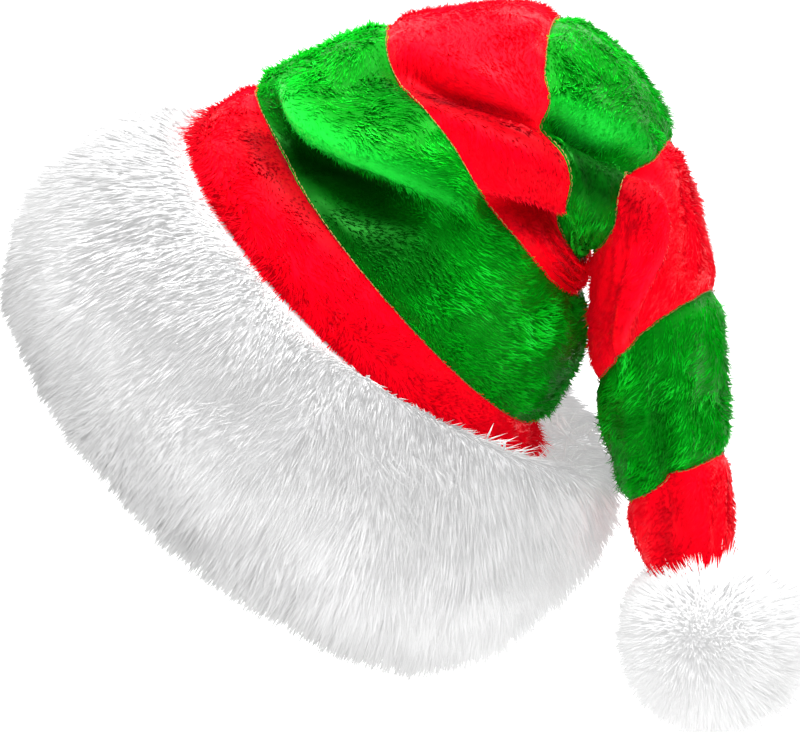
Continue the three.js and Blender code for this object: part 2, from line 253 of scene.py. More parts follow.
class ElfHatStudio(bpy.types.PropertyGroup):
    """Camera and lights"""

    azimuth: FloatProperty(
        name="Azimuth", description="Camera's way round the hat", default=math.radians(16), subtype="ANGLE"
    )
    elevation: FloatProperty(
        name="Elevation", description="Camera's height angle", default=math.radians(5), subtype="ANGLE"
    )
    distance: length_of("Distance", "Camera to the middle of the hat", 1.067)
    lens: share_of("Lens", "Focal length in millimetres", 120)
    floor: FloatProperty(
        name="Floor", description="Height of the floor", default=-0.3, unit="LENGTH", subtype="DISTANCE"
    )
    sky: share_of("Sky", "Strength of the light from all round", 0.6)
    key: share_of("Key", "Strength of the main lamp, in watts", 92)
    fill: share_of("Fill", "Strength of the second lamp, in watts", 20)


TARGET = Vector((0.0838, 0.0, 0.0411))
HEAD_LEAN = 45


def plane(degrees):
    """Directions in the XZ plane, in degrees above +X."""
    angle = np.radians(np.asarray(degrees, float))
    return np.stack([np.cos(angle), np.zeros_like(angle), np.sin(angle)], -1)


HEAD_AXIS = plane(90 - HEAD_LEAN)
HEAD_BACK = plane(-HEAD_LEAN)


def unit(vectors):
    """The vectors with length 1."""
    return vectors / np.maximum(np.linalg.norm(vectors, axis=-1, keepdims=True), 1e-12)


def between(positions, values, at):
    """A smooth value between the rows of a table: a cubic through all of them."""
    rows = np.arange(len(positions))
    low, high = np.maximum(rows - 1, 0), np.minimum(rows + 1, rows[-1])
    slopes = (values[high] - values[low]) / (positions[high] - positions[low])
    row = np.clip(np.searchsorted(positions, at, side="right") - 1, 0, rows[-1] - 1)
    span = positions[row + 1] - positions[row]
    t = (at - positions[row]) / span
    rise = values[row + 1] - values[row]
    a, b = slopes[row] * span, slopes[row + 1] * span
    return values[row] + t * a + t**2 * (3 * rise - 2 * a - b) + t**3 * (a + b - 2 * rise)


def columns(names, rows):
    """A table's columns by name."""
    return dict(zip(names, np.array(rows, float).T))


class Crown:
    """The skin of the folded cone. A place on it is at, in stripes from the brim, and turn, in
    degrees round it, with 0 on top and 90 on the -Y side."""

    def __init__(self, sizes):
        self.sizes = sizes
        self.stripe = sizes.stripe_width
        self.diameter = sizes.head_opening + 2 * sizes.cloth_wall
        self.rows = columns(SECTION_COLUMNS, SECTIONS)
        step = self.rows["stripes"] * self.stripe + self.rows["openings"] * sizes.head_opening
        moves = plane(self.rows["heading"]) * step[:, None]
        moves[0] = HEAD_AXIS * sizes.brim_height
        self.centres = np.cumsum(moves, 0)

    def column(self, name, at):
        """One column of the sections at a place."""
        return between(self.rows["at"], self.rows[name], at)

    def smooth(self, at, turn):
        """A point of the skin before it is folded."""
        lean, skew = self.column("lean", at), np.radians(self.column("skew", at))
        x, _, z = self.centres.T
        centre = np.stack([between(self.rows["at"], x, at), 0 * at, between(self.rows["at"], z, at)], -1)
        near = plane(lean) * np.sin(skew)[..., None]
        near[..., 1] = -np.cos(skew)
        c, s = np.cos(np.radians(turn)), np.sin(np.radians(turn))
        wide = self.column("wide", at) * self.diameter / 2 * c * (1 - self.column("pinch", at) * s * s)
        deep = self.column("deep", at) * self.diameter / 2 * s
        return centre + plane(lean + 90) * wide[..., None] + near * deep[..., None]

    def folded(self, at, turn):
        """How far the folds push the skin out, in metres, slide it along, in stripes, and turn it, in
        degrees, and how shaded it is: 1 in a pocket, below 0 on a lip."""
        size = self.column("wide", at) + self.column("deep", at)
        per_degree = np.radians(size * self.diameter / 4)
        push, slide, spin, shade = (np.zeros_like(at) for _ in range(4))
        for ats, turns, depth, lip, broad, slid, over in FOLDS + CREASES:
            line_at, line_turn = (ats[1] - ats[0]) * self.stripe, (turns[1] - turns[0]) * per_degree
            long = np.hypot(line_at, line_turn)
            line_at, line_turn = line_at / long, line_turn / long
            place_at, place_turn = (at - ats[0]) * self.stripe, (turn - turns[0]) * per_degree
            run = place_at * line_at + place_turn * line_turn
            along = np.clip(run / long, 0, 1)
            past = (run - along * long) / (broad * self.diameter)
            side = (line_at * place_turn - line_turn * place_at) / (broad * self.diameter)
            strength = np.sin(np.pi * (FOLD_CUT_OFF + (1 - 2 * FOLD_CUT_OFF) * along)) * np.exp(-(past**2))
            valley, edge = np.exp(-(side**2)), np.exp(-(((side + FOLD_LIP_PLACE) / FOLD_LIP_OVER) ** 2))
            push += strength * (edge * lip - valley * depth) * self.diameter
            slide += strength * valley * slid
            hang = strength * over * self.diameter * np.exp(-(((side + LIP_HANGS_AT) / LIP_HANGS_OVER) ** 2))
            slide -= hang * line_turn / self.stripe
            spin += hang * line_at / per_degree
            # Painted shade in the pocket beside the fold's valley and a painted highlight on its lip
            pocket = np.exp(-(((side - POCKET_AT - POCKET_BY_DEPTH * depth) / POCKET_REACH) ** 2))
            rim_highlight = np.exp(-(((side - RIM_AT) / RIM_REACH) ** 2))
            shade += strength * (pocket * max(depth, 0) - rim_highlight * lip) / FULL_SHADE_DEPTH
        return push, slide, spin, np.clip(shade, -1, 1)

    def sewn(self, at, turn):
        """How far the seams pull the skin in and pucker it, and its soft lumps, in metres."""
        ahead = self.smooth(at + 0.01, turn) - self.smooth(at - 0.01, turn)
        from_seam = np.abs(at - np.round(at)) * np.linalg.norm(ahead, axis=-1) / 0.02
        dip = -self.sizes.seam_dip * np.exp(-((from_seam / self.sizes.seam_reach) ** 2))
        waves = np.array([row[3] for row in STRIPES] + [STRIPES[-1][3]])
        waves = waves[np.clip(np.round(at), 0, len(STRIPES)).astype(int)]
        angle = np.radians(turn)
        pucker = np.sin(waves * angle) + 0.6 * np.sin((waves - 8) * angle + 2 * np.round(at))
        pucker *= 0.00035 * np.exp(-((from_seam / 0.009) ** 2))
        lumps = np.sin(9 * angle + 5.1 * at) * np.sin(4.3 * at + 1.3) + np.sin(14 * angle - 7.7 * at + 2.0)
        lumps = (0.0008 + 0.0004 * lumps) * np.minimum(from_seam / 0.01, 1)
        return dip + pucker + lumps + self.gathered(at, turn)

    def gathered(self, at, turn):
        """How far the bunched cloth under the fold stands out, in metres."""
        out = np.zeros_like(at)
        for ats, turns, ripples, high in GATHERS:
            along = np.clip((at - ats[0]) / (ats[1] - ats[0]), 0, 1)
            across = np.clip((turn - turns[0]) / (turns[1] - turns[0]), 0, 1)
            skewed = along + 0.08 * np.sin(5 * across)
            ripple = np.sin(2 * np.pi * ripples * skewed) + 0.3 * np.sin(3.1 * ripples * skewed + 9 * across)
            out += high * self.diameter * ripple * np.sin(np.pi * along) ** 0.7 * np.sin(np.pi * across) ** 1.5
        return out

    def skin(self, at, turn):
        """A point of the finished skin."""
        push, slide, spin, _ = self.folded(at, turn)
        moved, spun = at + slide, turn + spin
        push = push + self.sewn(at, turn)
        return self.smooth(moved, spun) + self.out_of(self.smooth, moved, spun) * push[..., None]

    def out_of(self, point, at, turn):
        """The way out of the skin."""
        along = point(at + COMPARE_ALONG, turn) - point(at - COMPARE_ALONG, turn)
        around = point(at, turn + COMPARE_ROUND) - point(at, turn - COMPARE_ROUND)
        return unit(np.cross(unit(around), unit(along)))


def put(name, mesh):
    """An object of this mesh, in the scene."""
    made = bpy.data.objects.new(name, mesh)
    bpy.context.scene.collection.objects.link(made)
    return made


def mesh_of(name, points, faces, smooth=True):
    """A mesh of points and faces."""
    mesh = bpy.data.meshes.new(name)
    mesh.from_pydata(np.asarray(points).tolist(), [], [list(map(int, face)) for face in faces])
    mesh.validate()
    mesh.polygons.foreach_set("use_smooth", [smooth] * len(mesh.polygons))
    return mesh


def ring_faces(rings, count, closed):
    """Quads over rings of as many points each, with which ring each comes from."""
    ring = np.arange(rings if closed else rings - 1)
    step = np.arange(count)
    r, i = np.meshgrid(ring, step, indexing="ij")
    n, j = (r + 1) % rings, (i + 1) % count
    faces = np.stack([r * count + i, r * count + j, n * count + j, n * count + i], -1)
    return faces.reshape(-1, 4), r.ravel(), i.ravel()


def add_uv(mesh, ring, step, count, round_size, along_size):
    """A UV map in metres over faces made by ring_faces."""
    layer = mesh.uv_layers.new(name="cloth")
    u = np.stack([step, step + 1, step + 1, step], -1) / count * round_size
    v = np.stack([ring, ring, ring + 1, ring + 1], -1) * along_size
    layer.data.foreach_set("uv", np.stack([u, v], -1).astype(np.float32).ravel())


def store(mesh, name, values):
    """Keeps a value or a vector for each vertex."""
    kind, key = ("FLOAT_VECTOR", "vector") if np.ndim(values) > 1 else ("FLOAT", "value")
    layer = mesh.attributes.new(name, kind, "POINT")
    layer.data.foreach_set(key, np.asarray(values, np.float32).ravel())


class Nodes:
    """Adds nodes to a tree, with their settings, inputs and links."""

    def __init__(self, tree):
        self.tree = tree

    def add(self, kind, inputs=(), **settings):
        """A node, with each input set or linked by name or number."""
        node = self.tree.nodes.new(kind)
        for name, value in settings.items():
            setattr(node, name, value)
        for key, value in dict(inputs).items():
            if isinstance(value, bpy.types.NodeSocket):
                self.tree.links.new(value, node.inputs[key])
            else:
                node.inputs[key].default_value = value
        return node

    def vector(self, operation, a, b=None, scale=None):
        """The result of a vector sum."""
        inputs = {0: a}
        if b is not None:
            inputs[1] = b
        if scale is not None:
            inputs["Scale"] = scale
        return self.add("ShaderNodeVectorMath", inputs, operation=operation).outputs["Vector"]

    def number(self, operation, a, b=0.0, clamp=False):
        """The result of a sum."""
        return self.add("ShaderNodeMath", {0: a, 1: b}, operation=operation, use_clamp=clamp).outputs[0]

    def mix(self, factor, a, b, blend="MIX"):
        """A mix of two colours."""
        node = self.add("ShaderNodeMix", {0: factor, 6: a, 7: b}, data_type="RGBA", blend_type=blend)
        return node.outputs[2]

    def attribute(self, name):
        """A strand's own value, in a material."""
        node = self.add("ShaderNodeAttribute", attribute_type="GEOMETRY", attribute_name=name)
        return node.outputs["Fac"]

    def soft_normal(self, softness):
        """The way out of the surface, leaning to that of the cloth on which a strand grows."""
        skin = self.add("ShaderNodeAttribute", attribute_type="GEOMETRY", attribute_name="skin").outputs["Vector"]
        own = self.add("ShaderNodeNewGeometry").outputs["Normal"]
        own = self.vector("SCALE", own, scale=1 - softness)
        both = self.vector("ADD", own, self.vector("SCALE", skin, scale=softness))
        return self.vector("NORMALIZE", both)

    def ramp(self, factor, stops):
        """Numbers from a ramp of (place, value) stops."""
        node = self.add("ShaderNodeValToRGB", {0: factor})
        elements = node.color_ramp.elements
        while len(elements) < len(stops):
            elements.new(0.5)
        for element, (place, value) in zip(elements, stops):
            element.position = place
            element.color = (value, value, value, 1)
        return node.outputs["Color"]


def material(name):
    """A new material, its nodes and its shader."""
    made = bpy.data.materials.new(name)
    made.use_nodes = True
    nodes = Nodes(made.node_tree)
    return made, nodes, made.node_tree.nodes["Principled BSDF"]


def rgba(colour):
    """A colour with full alpha."""
    return (*colour, 1.0)


def plush_material(name, base, deep, light, sheen, shine, glow, softness, seed):
    """Brushed short pile: dark at its roots, in patches that lie this way and that."""
    made, nodes, shader = material(name)
    place = nodes.add("ShaderNodeTexCoord").outputs["Object"]
    moved = nodes.add("ShaderNodeMapping", {0: place, 1: (seed, 0.3 * seed, -seed)}).outputs[0]
    patches = nodes.add("ShaderNodeTexNoise", {"Vector": moved, "Scale": 42, "Detail": 3, "Distortion": 0.6})
    tip, tint = nodes.attribute("tip"), nodes.attribute("tint")
    patch = nodes.ramp(patches.outputs[0], ((0.4, 0.0), (0.6, 1.0)))
    stroke = nodes.ramp(tint, ((0.5, 0.0), (0.8, 1.0)))
    shadow = nodes.ramp(tint, ((0.15, 1.0), (0.5, 0.0)))
    cloth = nodes.mix(patch, rgba(np.array(base) * 0.5 + np.array(deep) * 0.5), rgba(base))
    # Painted highlight: strokes of the light colour on the tips of strands with a high tint, in the light patches
    lit = nodes.number("MULTIPLY", nodes.number("MULTIPLY", patch, stroke), tip)
    cloth = nodes.mix(lit, cloth, rgba(light))
    cloth = nodes.mix(nodes.number("MULTIPLY", shadow, 0.6), cloth, rgba(deep))
    # Painted shade among the strands: the deep colour at the roots, fading towards the tips; the cloth under the pile
    # takes it in full
    ripe = nodes.number("ADD", nodes.number("MULTIPLY", tip, 0.8), nodes.number("MULTIPLY", tint, 0.35), True)
    pile = nodes.mix(ripe, rgba(deep), cloth)
    # Painted shade in fold pockets, towards a quarter of the deep colour, and a painted highlight of the light colour
    # on fold lips
    unshaded = nodes.number("POWER", nodes.number("SUBTRACT", 1.0, nodes.attribute("painted_shade"), True), 2.0)
    rim_highlight = nodes.number("MULTIPLY", nodes.attribute("painted_shade"), -1.0, True)
    pile = nodes.mix(unshaded, rgba(np.array(deep) * 0.25), pile)
    pile = nodes.mix(rim_highlight, pile, rgba(light))
    # The colour is also emitted at the glow's strength: a painted glow
    for socket in ("Base Color", "Emission Color"):
        nodes.tree.links.new(pile, shader.inputs[socket])
    shader.inputs["Emission Strength"].default_value = glow
    rough = nodes.number("SUBTRACT", 0.62, nodes.number("MULTIPLY", patch, 0.16))
    nodes.tree.links.new(rough, shader.inputs["Roughness"])
    nodes.tree.links.new(nodes.soft_normal(softness), shader.inputs["Normal"])
    shader.inputs["Specular IOR Level"].default_value = shine
    shader.inputs["Specular Tint"].default_value = rgba(sheen)
    shader.inputs["Sheen Weight"].default_value = 0.1
    shader.inputs["Sheen Roughness"].default_value = 0.4
    shader.inputs["Sheen Tint"].default_value = rgba(sheen)
    return made


def backing_material(name, base):
    """The knitted back of the plush, in small columns of loops."""
    made, nodes, shader = material(name)
    place = nodes.add("ShaderNodeUVMap", uv_map="cloth").outputs[0]
    wales = nodes.add("ShaderNodeTexWave", {"Vector": place, "Scale": 90, "Distortion": 0.4, "Detail": 1})
    courses = nodes.add("ShaderNodeTexWave", {"Vector": place, "Scale": 130}, bands_direction="Y")
    loops = nodes.number("MULTIPLY", wales.outputs["Fac"], courses.outputs["Fac"])
    shade = nodes.mix(loops, rgba(np.array(base) * 0.45), rgba(np.array(base) * 0.8))
    nodes.tree.links.new(shade, shader.inputs["Base Color"])
    bump = nodes.add("ShaderNodeBump", {"Height": loops, "Strength": 0.5, "Distance": 0.0004})
    nodes.tree.links.new(bump.outputs[0], shader.inputs["Normal"])
    shader.inputs["Roughness"].default_value = 0.85
    shader.inputs["Specular IOR Level"].default_value = 0.2
    return made


def fur_material(name, base, deep, uneven):
    """Long soft fur, greyer at its roots, with faint uneven patches."""
    made, nodes, shader = material(name)
    place = nodes.add("ShaderNodeTexCoord").outputs["Object"]
    patches = nodes.add("ShaderNodeTexNoise", {"Vector": place, "Scale": 30, "Detail": 4})
    tip, tint = nodes.attribute("tip"), nodes.attribute("tint")
    patch = nodes.ramp(patches.outputs[0], ((0.35, 0.0), (0.65, 1.0)))
    # Roots take the deep colour and tips the base colour; the deep colour is lighter by default, painted light among
    # the strands
    ripe = nodes.number("ADD", nodes.number("MULTIPLY", tip, 0.9), nodes.number("MULTIPLY", tint, 0.3), True)
    fur = nodes.mix(ripe, rgba(deep), rgba(base))
    dull = nodes.number("MULTIPLY", nodes.number("SUBTRACT", 1.0, patch), uneven)
    fur = nodes.mix(dull, fur, rgba(deep))
    # Painted shade where the strand's shade attribute is set, towards 0.4 of the base colour
    fur = nodes.mix(nodes.attribute("painted_shade"), fur, rgba(np.array(base) * 0.4))
    for socket in ("Base Color", "Emission Color"):
        nodes.tree.links.new(fur, shader.inputs[socket])
    nodes.tree.links.new(nodes.number("ADD", 0.6, nodes.number("MULTIPLY", tint, 0.2)), shader.inputs["Roughness"])
    nodes.tree.links.new(nodes.soft_normal(0.97), shader.inputs["Normal"])
    shader.inputs["Specular IOR Level"].default_value = 0.1
    # A strong emission of the fur's own colour: a painted glow in place of light scattered among the strands
    shader.inputs["Emission Strength"].default_value = 1.25
    shader.inputs["Subsurface Weight"].default_value = 0.5
    shader.inputs["Subsurface Radius"].default_value = (1, 1, 1)
    shader.inputs["Subsurface Scale"].default_value = 0.002
    return made


def thread_material(name, base):
    """Twisted sewing thread."""
    made, nodes, shader = material(name)
    place = nodes.add("ShaderNodeTexCoord").outputs["Object"]
    fibres = nodes.add("ShaderNodeTexNoise", {"Vector": place, "Scale": 900, "Detail": 2})
    shade = nodes.mix(fibres.outputs[0], rgba(np.array(base) * 0.55), rgba(base))
    nodes.tree.links.new(shade, shader.inputs["Base Color"])
    bump = nodes.add("ShaderNodeBump", {"Height": fibres.outputs[0], "Strength": 0.4, "Distance": 0.0002})
    nodes.tree.links.new(bump.outputs[0], shader.inputs["Normal"])
    shader.inputs["Roughness"].default_value = 0.6
    return made


STRAND_INPUTS = (
    ("Strand", "NodeSocketObject"),
    ("Material", "NodeSocketMaterial"),
    ("Density", "NodeSocketFloat"),
    ("Length", "NodeSocketFloat"),
    ("Width", "NodeSocketFloat"),
    ("Flatness", "NodeSocketFloat"),
    ("Spread", "NodeSocketFloat"),
    ("Lift", "NodeSocketFloat"),
    ("Comb", "NodeSocketFloat"),
    ("Scatter", "NodeSocketFloat"),
    ("Brush", "NodeSocketFloat"),
    ("Brush Scale", "NodeSocketFloat"),
    ("Clump Scale", "NodeSocketFloat"),
    ("Pull", "NodeSocketFloat"),
    ("Seed", "NodeSocketInt"),
)


def strand_tree():
    """The tree that grows pile or fur on a mesh, which holds comb, grow, cover and hollow attributes."""
    tree = bpy.data.node_groups.new("ElfHatStrands", "GeometryNodeTree")
    tree.interface.new_socket("Geometry", in_out="INPUT", socket_type="NodeSocketGeometry")
    for name, kind in STRAND_INPUTS:
        tree.interface.new_socket(name, in_out="INPUT", socket_type=kind)
    tree.interface.new_socket("Geometry", in_out="OUTPUT", socket_type="NodeSocketGeometry")
    nodes = Nodes(tree)
    given = nodes.add("NodeGroupInput").outputs

    def named(name, kind):
        return nodes.add("GeometryNodeInputNamedAttribute", {"Name": name}, data_type=kind).outputs["Attribute"]

    def random(low, high, shift):
        seed = nodes.number("ADD", given["Seed"], shift)
        if isinstance(low, tuple):
            node = nodes.add("FunctionNodeRandomValue", {0: low, 1: high, 8: seed}, data_type="FLOAT_VECTOR")
            return node.outputs[0]
        return nodes.add("FunctionNodeRandomValue", {2: low, 3: high, 8: seed}, data_type="FLOAT").outputs[1]

    density = nodes.number("MULTIPLY", named("cover", "FLOAT"), given["Density"])
    points = nodes.add(
        "GeometryNodeDistributePointsOnFaces", {"Mesh": given["Geometry"], "Density": density, "Seed": given["Seed"]}
    ).outputs
    place = nodes.add("GeometryNodeInputPosition").outputs[0]
    comb = named("comb", "FLOAT_VECTOR")
    cells = nodes.add("ShaderNodeTexVoronoi", {"Vector": place, "Scale": given["Clump Scale"]}, feature="F1")
    to_clump = nodes.vector("SUBTRACT", cells.outputs["Position"], place)
    to_clump = nodes.vector("SCALE", to_clump, scale=nodes.number("MULTIPLY", given["Clump Scale"], given["Pull"]))
    brushed = nodes.add("ShaderNodeTexNoise", {"Vector": place, "Scale": given["Brush Scale"], "Detail": 1})
    brushed = nodes.vector("SUBTRACT", brushed.outputs["Color"], (0.5, 0.5, 0.5))
    brushed = nodes.vector("SCALE", brushed, scale=nodes.number("MULTIPLY", given["Brush"], 4.0))
    strayed = nodes.vector("SCALE", random((-1, -1, -1), (1, 1, 1), 1), scale=given["Scatter"])
    way = nodes.vector("SCALE", points["Normal"], scale=given["Lift"])
    for part in (nodes.vector("SCALE", comb, scale=given["Comb"]), to_clump, brushed, strayed):
        way = nodes.vector("ADD", way, part)
    into = nodes.add("ShaderNodeVectorMath", {0: way, 1: points["Normal"]}, operation="DOT_PRODUCT").outputs["Value"]
    short = nodes.number("MAXIMUM", nodes.number("SUBTRACT", nodes.number("MULTIPLY", given["Lift"], 0.5), into), 0.0)
    way = nodes.vector("ADD", way, nodes.vector("SCALE", points["Normal"], scale=short))
    upright = nodes.add("FunctionNodeAlignRotationToVector", {"Vector": way}, axis="Z").outputs[0]
    turned = nodes.add(
        "FunctionNodeAlignRotationToVector", {"Rotation": upright, "Vector": comb}, axis="X", pivot_axis="Z"
    ).outputs[0]
    least = nodes.number("SUBTRACT", 1.0, given["Spread"])
    drawn = nodes.add("FunctionNodeRandomValue", {2: least, 3: 1.0, 8: 7}, data_type="FLOAT").outputs[1]
    tall = nodes.number("MULTIPLY", nodes.number("MULTIPLY", given["Length"], drawn), named("grow", "FLOAT"))
    broad = nodes.number("MULTIPLY", given["Width"], random(0.7, 1.2, 3))
    thin = nodes.number("MULTIPLY", broad, given["Flatness"])
    size = nodes.add("ShaderNodeCombineXYZ", {0: thin, 1: broad, 2: tall}).outputs[0]
    tuft = nodes.add("ShaderNodeSeparateXYZ", {0: cells.outputs["Color"]}).outputs[0]
    tint = nodes.number("ADD", nodes.number("MULTIPLY", tuft, 0.65), random(0.0, 0.35, 5))
    strand = nodes.add("GeometryNodeObjectInfo", {"Object": given["Strand"]}).outputs["Geometry"]
    grown = nodes.add(
        "GeometryNodeInstanceOnPoints",
        {"Points": points["Points"], "Instance": strand, "Rotation": turned, "Scale": size},
    ).outputs[0]
    tinted = nodes.add(
        "GeometryNodeStoreNamedAttribute",
        {"Geometry": grown, "Name": "tint", "Value": tint},
        data_type="FLOAT", domain="INSTANCE",
    ).outputs[0]
    faced = nodes.add(
        "GeometryNodeStoreNamedAttribute",
        {"Geometry": tinted, "Name": "skin", "Value": points["Normal"]},
        data_type="FLOAT_VECTOR", domain="INSTANCE",
    ).outputs[0]
    real = nodes.add("GeometryNodeRealizeInstances", {"Geometry": faced}).outputs[0]
    dyed = nodes.add("GeometryNodeSetMaterial", {"Geometry": real, "Material": given["Material"]}).outputs[0]
    nodes.add("NodeGroupOutput", {0: dyed})
    return tree


def strand_mesh(waist, bend):
    """One strand of unit length and width, a closed three-sided spindle or spike that bends towards
    +X, whose tip attribute runs from 0 at the root to 1. waist: how high it is widest."""
    corners = np.radians([0, 120, 240])
    points = [(0.58 * math.cos(c) + bend * waist**2, 0.58 * math.sin(c), waist) for c in corners]
    points.append((bend, 0, 1))
    faces = [(i, (i + 1) % 3, 3) for i in range(3)]
    if waist > 0:
        points.append((0, 0, 0))
        faces += [((i + 1) % 3, i, 4) for i in range(3)]
    else:
        faces.append((2, 1, 0))
    mesh = mesh_of("strand", points, faces)
    store(mesh, "tip", [point[2] for point in points])
    return mesh


def finished(maker):
    """A plain mesh of what an object's modifiers make."""
    graph = bpy.context.evaluated_depsgraph_get()
    return bpy.data.meshes.new_from_object(
        maker.evaluated_get(graph), preserve_all_data_layers=True, depsgraph=graph
    )


def grow(name, emitter_mesh, look, strand, fur):
    """A piece of pile or fur, grown on a mesh."""
    tree = bpy.data.node_groups.get("ElfHatStrands") or strand_tree()
    emitter, model = put(name + "_roots", emitter_mesh), put(name + "_strand", strand)
    grower = emitter.modifiers.new("Strands", "NODES")
    grower.node_group = tree
    values = {
        "Strand": model, "Material": fur, "Density": look.density, "Length": look.length,
        "Width": look.width, "Flatness": look.flatness, "Spread": look.spread, "Lift": look.lift, "Comb": look.comb,
        "Scatter": look.scatter, "Brush": look.brush, "Brush Scale": look.brush_scale,
        "Clump Scale": look.clump_scale, "Pull": look.pull, "Seed": look.seed,
    }
    for item in tree.interface.items_tree:
        if item.in_out == "INPUT" and item.name in values:
            grower[item.identifier] = values[item.name]
    mesh = finished(emitter)
    for used in (emitter, model):
        bpy.data.objects.remove(used)
    mesh.name = name
    if not len(mesh.polygons):
        raise RuntimeError(f"{name} grew no strands")
    piece = put(name, mesh)
    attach(piece, "root")
    return piece


def stripe_places(first, count):
    """Where a stripe's rows lie, closer together near its seams."""
    share = np.linspace(0, 1, count)
    return first + 0.5 * share + 0.25 * (1 - np.cos(np.pi * share))


def stripe_cloth(crown, number, plush, backing):
    """One stripe: a tube of cloth with turned-in edges, the last one closed at the tip."""
    node, held, _, _, rows, count = STRIPES[number]
    sizes = crown.sizes
    last = number == len(STRIPES) - 1
    turn = np.linspace(0, 360, count, endpoint=False)
    at, turns = np.meshgrid(stripe_places(number, rows), turn, indexing="ij")
    outer = crown.skin(at, turns)
    normal = crown.out_of(crown.skin, at, turns)
    for edge, inward in ((0, 1), (-1, -2)):
        chord = unit(outer[inward] - outer[edge])
        outer[edge] += chord * sizes.seam_gap / 2
    outer -= normal * sizes.pile_sink
    inner = outer - normal * (sizes.cloth_wall - sizes.pile_sink)
    if last:
        middle_out, middle_in = outer[-1].mean(0), inner[-1].mean(0)
        cap = [middle_out + (outer[-1] - middle_out) * share for share in (0.66, 0.33, 0.04)]
        cap_in = [middle_in + (inner[-1] - middle_in) * share for share in (0.04, 0.5)]
        rings = np.concatenate([outer, cap, np.array(cap_in), inner[::-1]])
    else:
        rings = np.concatenate([outer, inner[::-1]])
    faces, ring, step = ring_faces(len(rings), count, True)
    mesh = mesh_of(node + "_cloth", rings.reshape(-1, 3), faces)
    # Painted shade of the folds on the cloth's outer rows: 1 in a pocket, below 0 a painted highlight on a lip
    painted_shade = np.zeros((len(rings), count))
    painted_shade[:rows] = crown.folded(at, turns)[3]
    store(mesh, "painted_shade", painted_shade.ravel())
    around = float(np.linalg.norm(np.roll(outer[0], -1, 0) - outer[0], axis=-1).sum())
    add_uv(mesh, ring, step, count, around, sizes.stripe_width / rows)
    mesh.materials.append(plush)
    mesh.materials.append(backing)
    mesh.polygons.foreach_set("material_index", (ring >= len(rings) - rows).astype(np.int32))
    return put(node + "_cloth", mesh), held


def stripe_roots(crown, number):
    """The skin that a stripe's pile grows on, with the way that it is combed."""
    node, _, _, _, rows, count = STRIPES[number]
    sizes = crown.sizes
    turn = np.linspace(0, 360, count, endpoint=False)
    at, turns = np.meshgrid(stripe_places(number, rows), turn, indexing="ij")
    points = crown.skin(at, turns)
    normal = crown.out_of(crown.skin, at, turns)
    along = unit(crown.skin(at + 0.01, turns) - crown.skin(at - 0.01, turns))
    around = unit(np.cross(along, normal))
    around *= np.clip(4 * np.sin(np.radians(turns)), -1, 1)[..., None]
    stretch = np.linalg.norm(crown.smooth(at + 0.01, turns) - crown.smooth(at - 0.01, turns), axis=-1) / 0.02
    from_seam = np.abs(at - np.round(at)) * stretch
    comb = 0.35 * along + 0.8 * around + np.array([0, 0, -0.25])
    grow_by = 0.45 + 0.55 * np.clip(from_seam / 0.006, 0, 1)
    # Painted shade of the folds for the pile, which also shortens it in pockets and on lips
    painted_shade = crown.folded(at, turns)[3]
    grow_by *= (1 - 0.35 * np.maximum(painted_shade, 0)) * (1 - 0.5 * np.clip(-2 * painted_shade, 0, 1))
    grow_by *= 0.85 if node.endswith("red") else 1
    if number == 0:
        low = np.exp(-((at * stretch / 0.008) ** 2))[..., None]
        comb = comb * (1 - low) + (0.9 * normal - 0.9 * along) * low
        grow_by = grow_by * (1 - low[..., 0]) + 2.9 * low[..., 0]
    faces, _, _ = ring_faces(rows, count, False)
    mesh = mesh_of(node + "_roots", (points - normal * sizes.pile_sink * 1.3).reshape(-1, 3), faces)
    store(mesh, "comb", comb.reshape(-1, 3))
    store(mesh, "grow", grow_by.ravel())
    store(mesh, "painted_shade", painted_shade.ravel())
    store(mesh, "cover", np.ones(grow_by.size))
    return mesh


def flat_size(crown, number):
    """The width, length and area of a stripe as it was cut."""
    turn = np.linspace(0, 360, 180, endpoint=False)
    rounds = []
    for at in (number, number + 1):
        ring = crown.smooth(np.full(180, float(at)), turn)
        rounds.append(float(np.linalg.norm(np.roll(ring, -1, 0) - ring, axis=-1).sum()))
    length = crown.sizes.stripe_width * STRIPES[number][2]
    return (max(rounds), length), length * sum(rounds) / 2


class ELFHAT_OT_stripes(bpy.types.Operator):
    """Make the seven stripes of the cone, with their short pile"""

    bl_idname = "elfhat.stripes"
    bl_label = "Striped Cone"

    def execute(self, context):
        """Makes a sheet of cloth and a piece of pile for each stripe."""
        settings = context.scene.elf_hat
        crown, colours = Crown(settings.sizes), settings.colours
        # Each plush glows faintly in its own colour, a painted glow: 0.3 for the red and 0.07 for the green
        finishes = {
            "red": (
                plush_material("red plush", colours.red, colours.red_deep, colours.red_light, (1, 0.05, 0.1), 0.2, 0.3, 0.92, 1.7),
                backing_material("red backing", colours.red),
            ),
            "green": (
                plush_material(
                    "green plush", colours.green, colours.green_deep, colours.green_light, (0.03, 1, 0.05), 0.3, 0.07, 0.7, 4.1
                ),
                backing_material("green backing", colours.green),
            ),
        }
        for number, row in enumerate(STRIPES):
            colour = row[0].rsplit("_", 1)[1]
            plush, backing = finishes[colour]
            cloth, held = stripe_cloth(crown, number, plush, backing)
            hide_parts(row[0])
            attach(cloth, "root")
            spike = strand_mesh(0, 0)
            pile = grow(row[0] + "_pile", stripe_roots(crown, number), settings.plush, spike, plush)
            flat, area = flat_size(crown, number)
        return {"FINISHED"}


